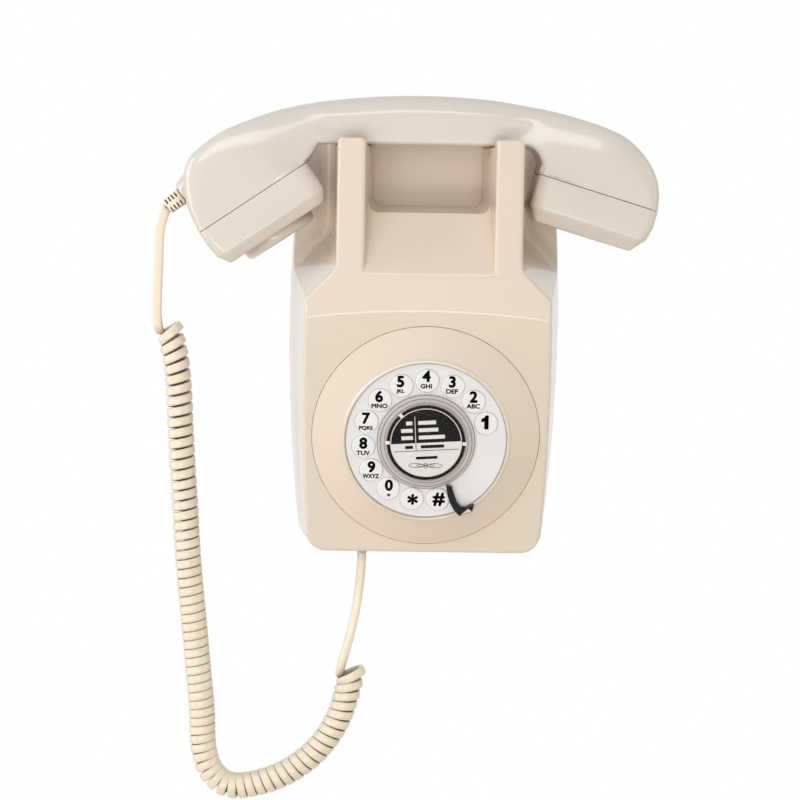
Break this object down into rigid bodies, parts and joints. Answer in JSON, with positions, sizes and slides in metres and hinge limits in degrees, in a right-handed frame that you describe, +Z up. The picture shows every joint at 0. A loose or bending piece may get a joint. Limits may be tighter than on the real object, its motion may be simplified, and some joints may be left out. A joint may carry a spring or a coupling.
{
  "type": "wall telephone",
  "caption": "Wall-mounted corded telephone with a ring of push keys, a handset lying on two prongs and a hanging curly cord.",
  "frame": {"origin": "in the wall plane, half way between the two wall screws' keyholes", "axes": "+Z up, +X to the right as a viewer faces the phone, -Y out of the wall towards the viewer"},
  "size_m": [0.2492, 0.0857, 0.353],
  "materials": {
    "ivory_case": "moulded ABS, semi-gloss",
    "ivory_handset": "moulded ABS, gloss",
    "white_plate": "gloss",
    "white_keys": "gloss with printed characters",
    "clear_plastic": "clear moulded acrylic",
    "beige_button": "gloss",
    "printed_card": "printed card",
    "black_plastic": "gloss",
    "grey_rubber": "silicone",
    "circuit_board": "solder mask",
    "inner_plastic": "moulded",
    "bell_brass": "plated",
    "coil_metal": "painted",
    "steel": "zinc plated",
    "ivory_cord": "soft PVC"
  },
  "bodies": {
    "wall_unit": {"base_plate": "black_plastic", "front_case": "ivory_case", "dial_surround": "ivory_case", "number_plate": "white_plate", "hub_ring": "clear_plastic", "finger_stop": "black_plastic", "key_mat": "grey_rubber", "key_board": "circuit_board", "dial_back_plate": "inner_plastic", "main_board": "circuit_board", "board_screws": "steel", "case_screws": "steel", "gong_left": "bell_brass", "gong_right": "bell_brass", "ringer_coil": "coil_metal", "hook_switch": "black_plastic", "line_jack": "black_plastic", "ringer_switch_body": "black_plastic", "cord_grommet": "ivory_cord", "cord_upper": "ivory_cord", "cord_coil": "ivory_cord", "cord_lower": "ivory_cord"},
    "handset": {"handset_shell": "ivory_handset", "mouthpiece_cap": "ivory_handset", "mouthpiece_disc": "ivory_handset", "earpiece_cap": "ivory_handset", "microphone": "black_plastic", "receiver": "coil_metal", "handset_weight": "steel", "cord_boot": "ivory_cord"},
    "hook": {"hook_bar": "inner_plastic", "plunger_left": "inner_plastic", "plunger_right": "inner_plastic"},
    "redial": {"redial_button": "beige_button", "redial_card": "printed_card", "card_cover": "clear_plastic"},
    "bell_clapper": {"clapper": "coil_metal"},
    "bell_switch": {"ringer_switch": "black_plastic"},
    "key_1_body": {"key_1": "white_keys"},
    "key_2_body": {"key_2": "white_keys"},
    "key_3_body": {"key_3": "white_keys"},
    "key_4_body": {"key_4": "white_keys"},
    "key_5_body": {"key_5": "white_keys"},
    "key_6_body": {"key_6": "white_keys"},
    "key_7_body": {"key_7": "white_keys"},
    "key_8_body": {"key_8": "white_keys"},
    "key_9_body": {"key_9": "white_keys"},
    "key_0_body": {"key_0": "white_keys"},
    "key_star_body": {"key_star": "white_keys"},
    "key_hash_body": {"key_hash": "white_keys"}
  },
  "joints": [
    {"name": "handset_lift", "type": "slide", "parent": "wall_unit", "child": "handset", "axis": [0, 0, 1], "range_m": [0, 0.06]},
    {"name": "hook_rise", "type": "slide", "parent": "wall_unit", "child": "hook", "axis": [0, 0, 1], "range_m": [0, 0.004]},
    {"name": "redial_press", "type": "slide", "parent": "wall_unit", "child": "redial", "axis": [0, 0.9781, 0.2079], "range_m": [0, 0.001], "stiffness_N_per_m": 900, "springref_m": -0.0006},
    {"name": "clapper_swing", "type": "hinge", "parent": "wall_unit", "child": "bell_clapper", "pos_m": [0, -0.0345, -0.044], "axis": [0, 1, 0], "range_deg": [-4, 4]},
    {"name": "bell_switch_slide", "type": "slide", "parent": "wall_unit", "child": "bell_switch", "axis": [1, 0, 0], "range_m": [0, 0.004]},
    {"name": "key_1_press", "type": "slide", "parent": "wall_unit", "child": "key_1_body", "axis": [0, 0.9781, 0.2079], "range_m": [0, 0.0012], "stiffness_N_per_m": 500, "springref_m": -0.0006},
    {"name": "key_2_press", "type": "slide", "parent": "wall_unit", "child": "key_2_body", "axis": [0, 0.9781, 0.2079], "range_m": [0, 0.0012], "stiffness_N_per_m": 500, "springref_m": -0.0006},
    {"name": "key_3_press", "type": "slide", "parent": "wall_unit", "child": "key_3_body", "axis": [0, 0.9781, 0.2079], "range_m": [0, 0.0012], "stiffness_N_per_m": 500, "springref_m": -0.0006},
    {"name": "key_4_press", "type": "slide", "parent": "wall_unit", "child": "key_4_body", "axis": [0, 0.9781, 0.2079], "range_m": [0, 0.0012], "stiffness_N_per_m": 500, "springref_m": -0.0006},
    {"name": "key_5_press", "type": "slide", "parent": "wall_unit", "child": "key_5_body", "axis": [0, 0.9781, 0.2079], "range_m": [0, 0.0012], "stiffness_N_per_m": 500, "springref_m": -0.0006},
    {"name": "key_6_press", "type": "slide", "parent": "wall_unit", "child": "key_6_body", "axis": [0, 0.9781, 0.2079], "range_m": [0, 0.0012], "stiffness_N_per_m": 500, "springref_m": -0.0006},
    {"name": "key_7_press", "type": "slide", "parent": "wall_unit", "child": "key_7_body", "axis": [0, 0.9781, 0.2079], "range_m": [0, 0.0012], "stiffness_N_per_m": 500, "springref_m": -0.0006},
    {"name": "key_8_press", "type": "slide", "parent": "wall_unit", "child": "key_8_body", "axis": [0, 0.9781, 0.2079], "range_m": [0, 0.0012], "stiffness_N_per_m": 500, "springref_m": -0.0006},
    {"name": "key_9_press", "type": "slide", "parent": "wall_unit", "child": "key_9_body", "axis": [0, 0.9781, 0.2079], "range_m": [0, 0.0012], "stiffness_N_per_m": 500, "springref_m": -0.0006},
    {"name": "key_0_press", "type": "slide", "parent": "wall_unit", "child": "key_0_body", "axis": [0, 0.9781, 0.2079], "range_m": [0, 0.0012], "stiffness_N_per_m": 500, "springref_m": -0.0006},
    {"name": "key_star_press", "type": "slide", "parent": "wall_unit", "child": "key_star_body", "axis": [0, 0.9781, 0.2079], "range_m": [0, 0.0012], "stiffness_N_per_m": 500, "springref_m": -0.0006},
    {"name": "key_hash_press", "type": "slide", "parent": "wall_unit", "child": "key_hash_body", "axis": [0, 0.9781, 0.2079], "range_m": [0, 0.0012], "stiffness_N_per_m": 500, "springref_m": -0.0006}
  ],
  "couplings": [
    {"joint": "hook_rise", "follows": "handset_lift", "ratio": 0.066667}
  ]
}
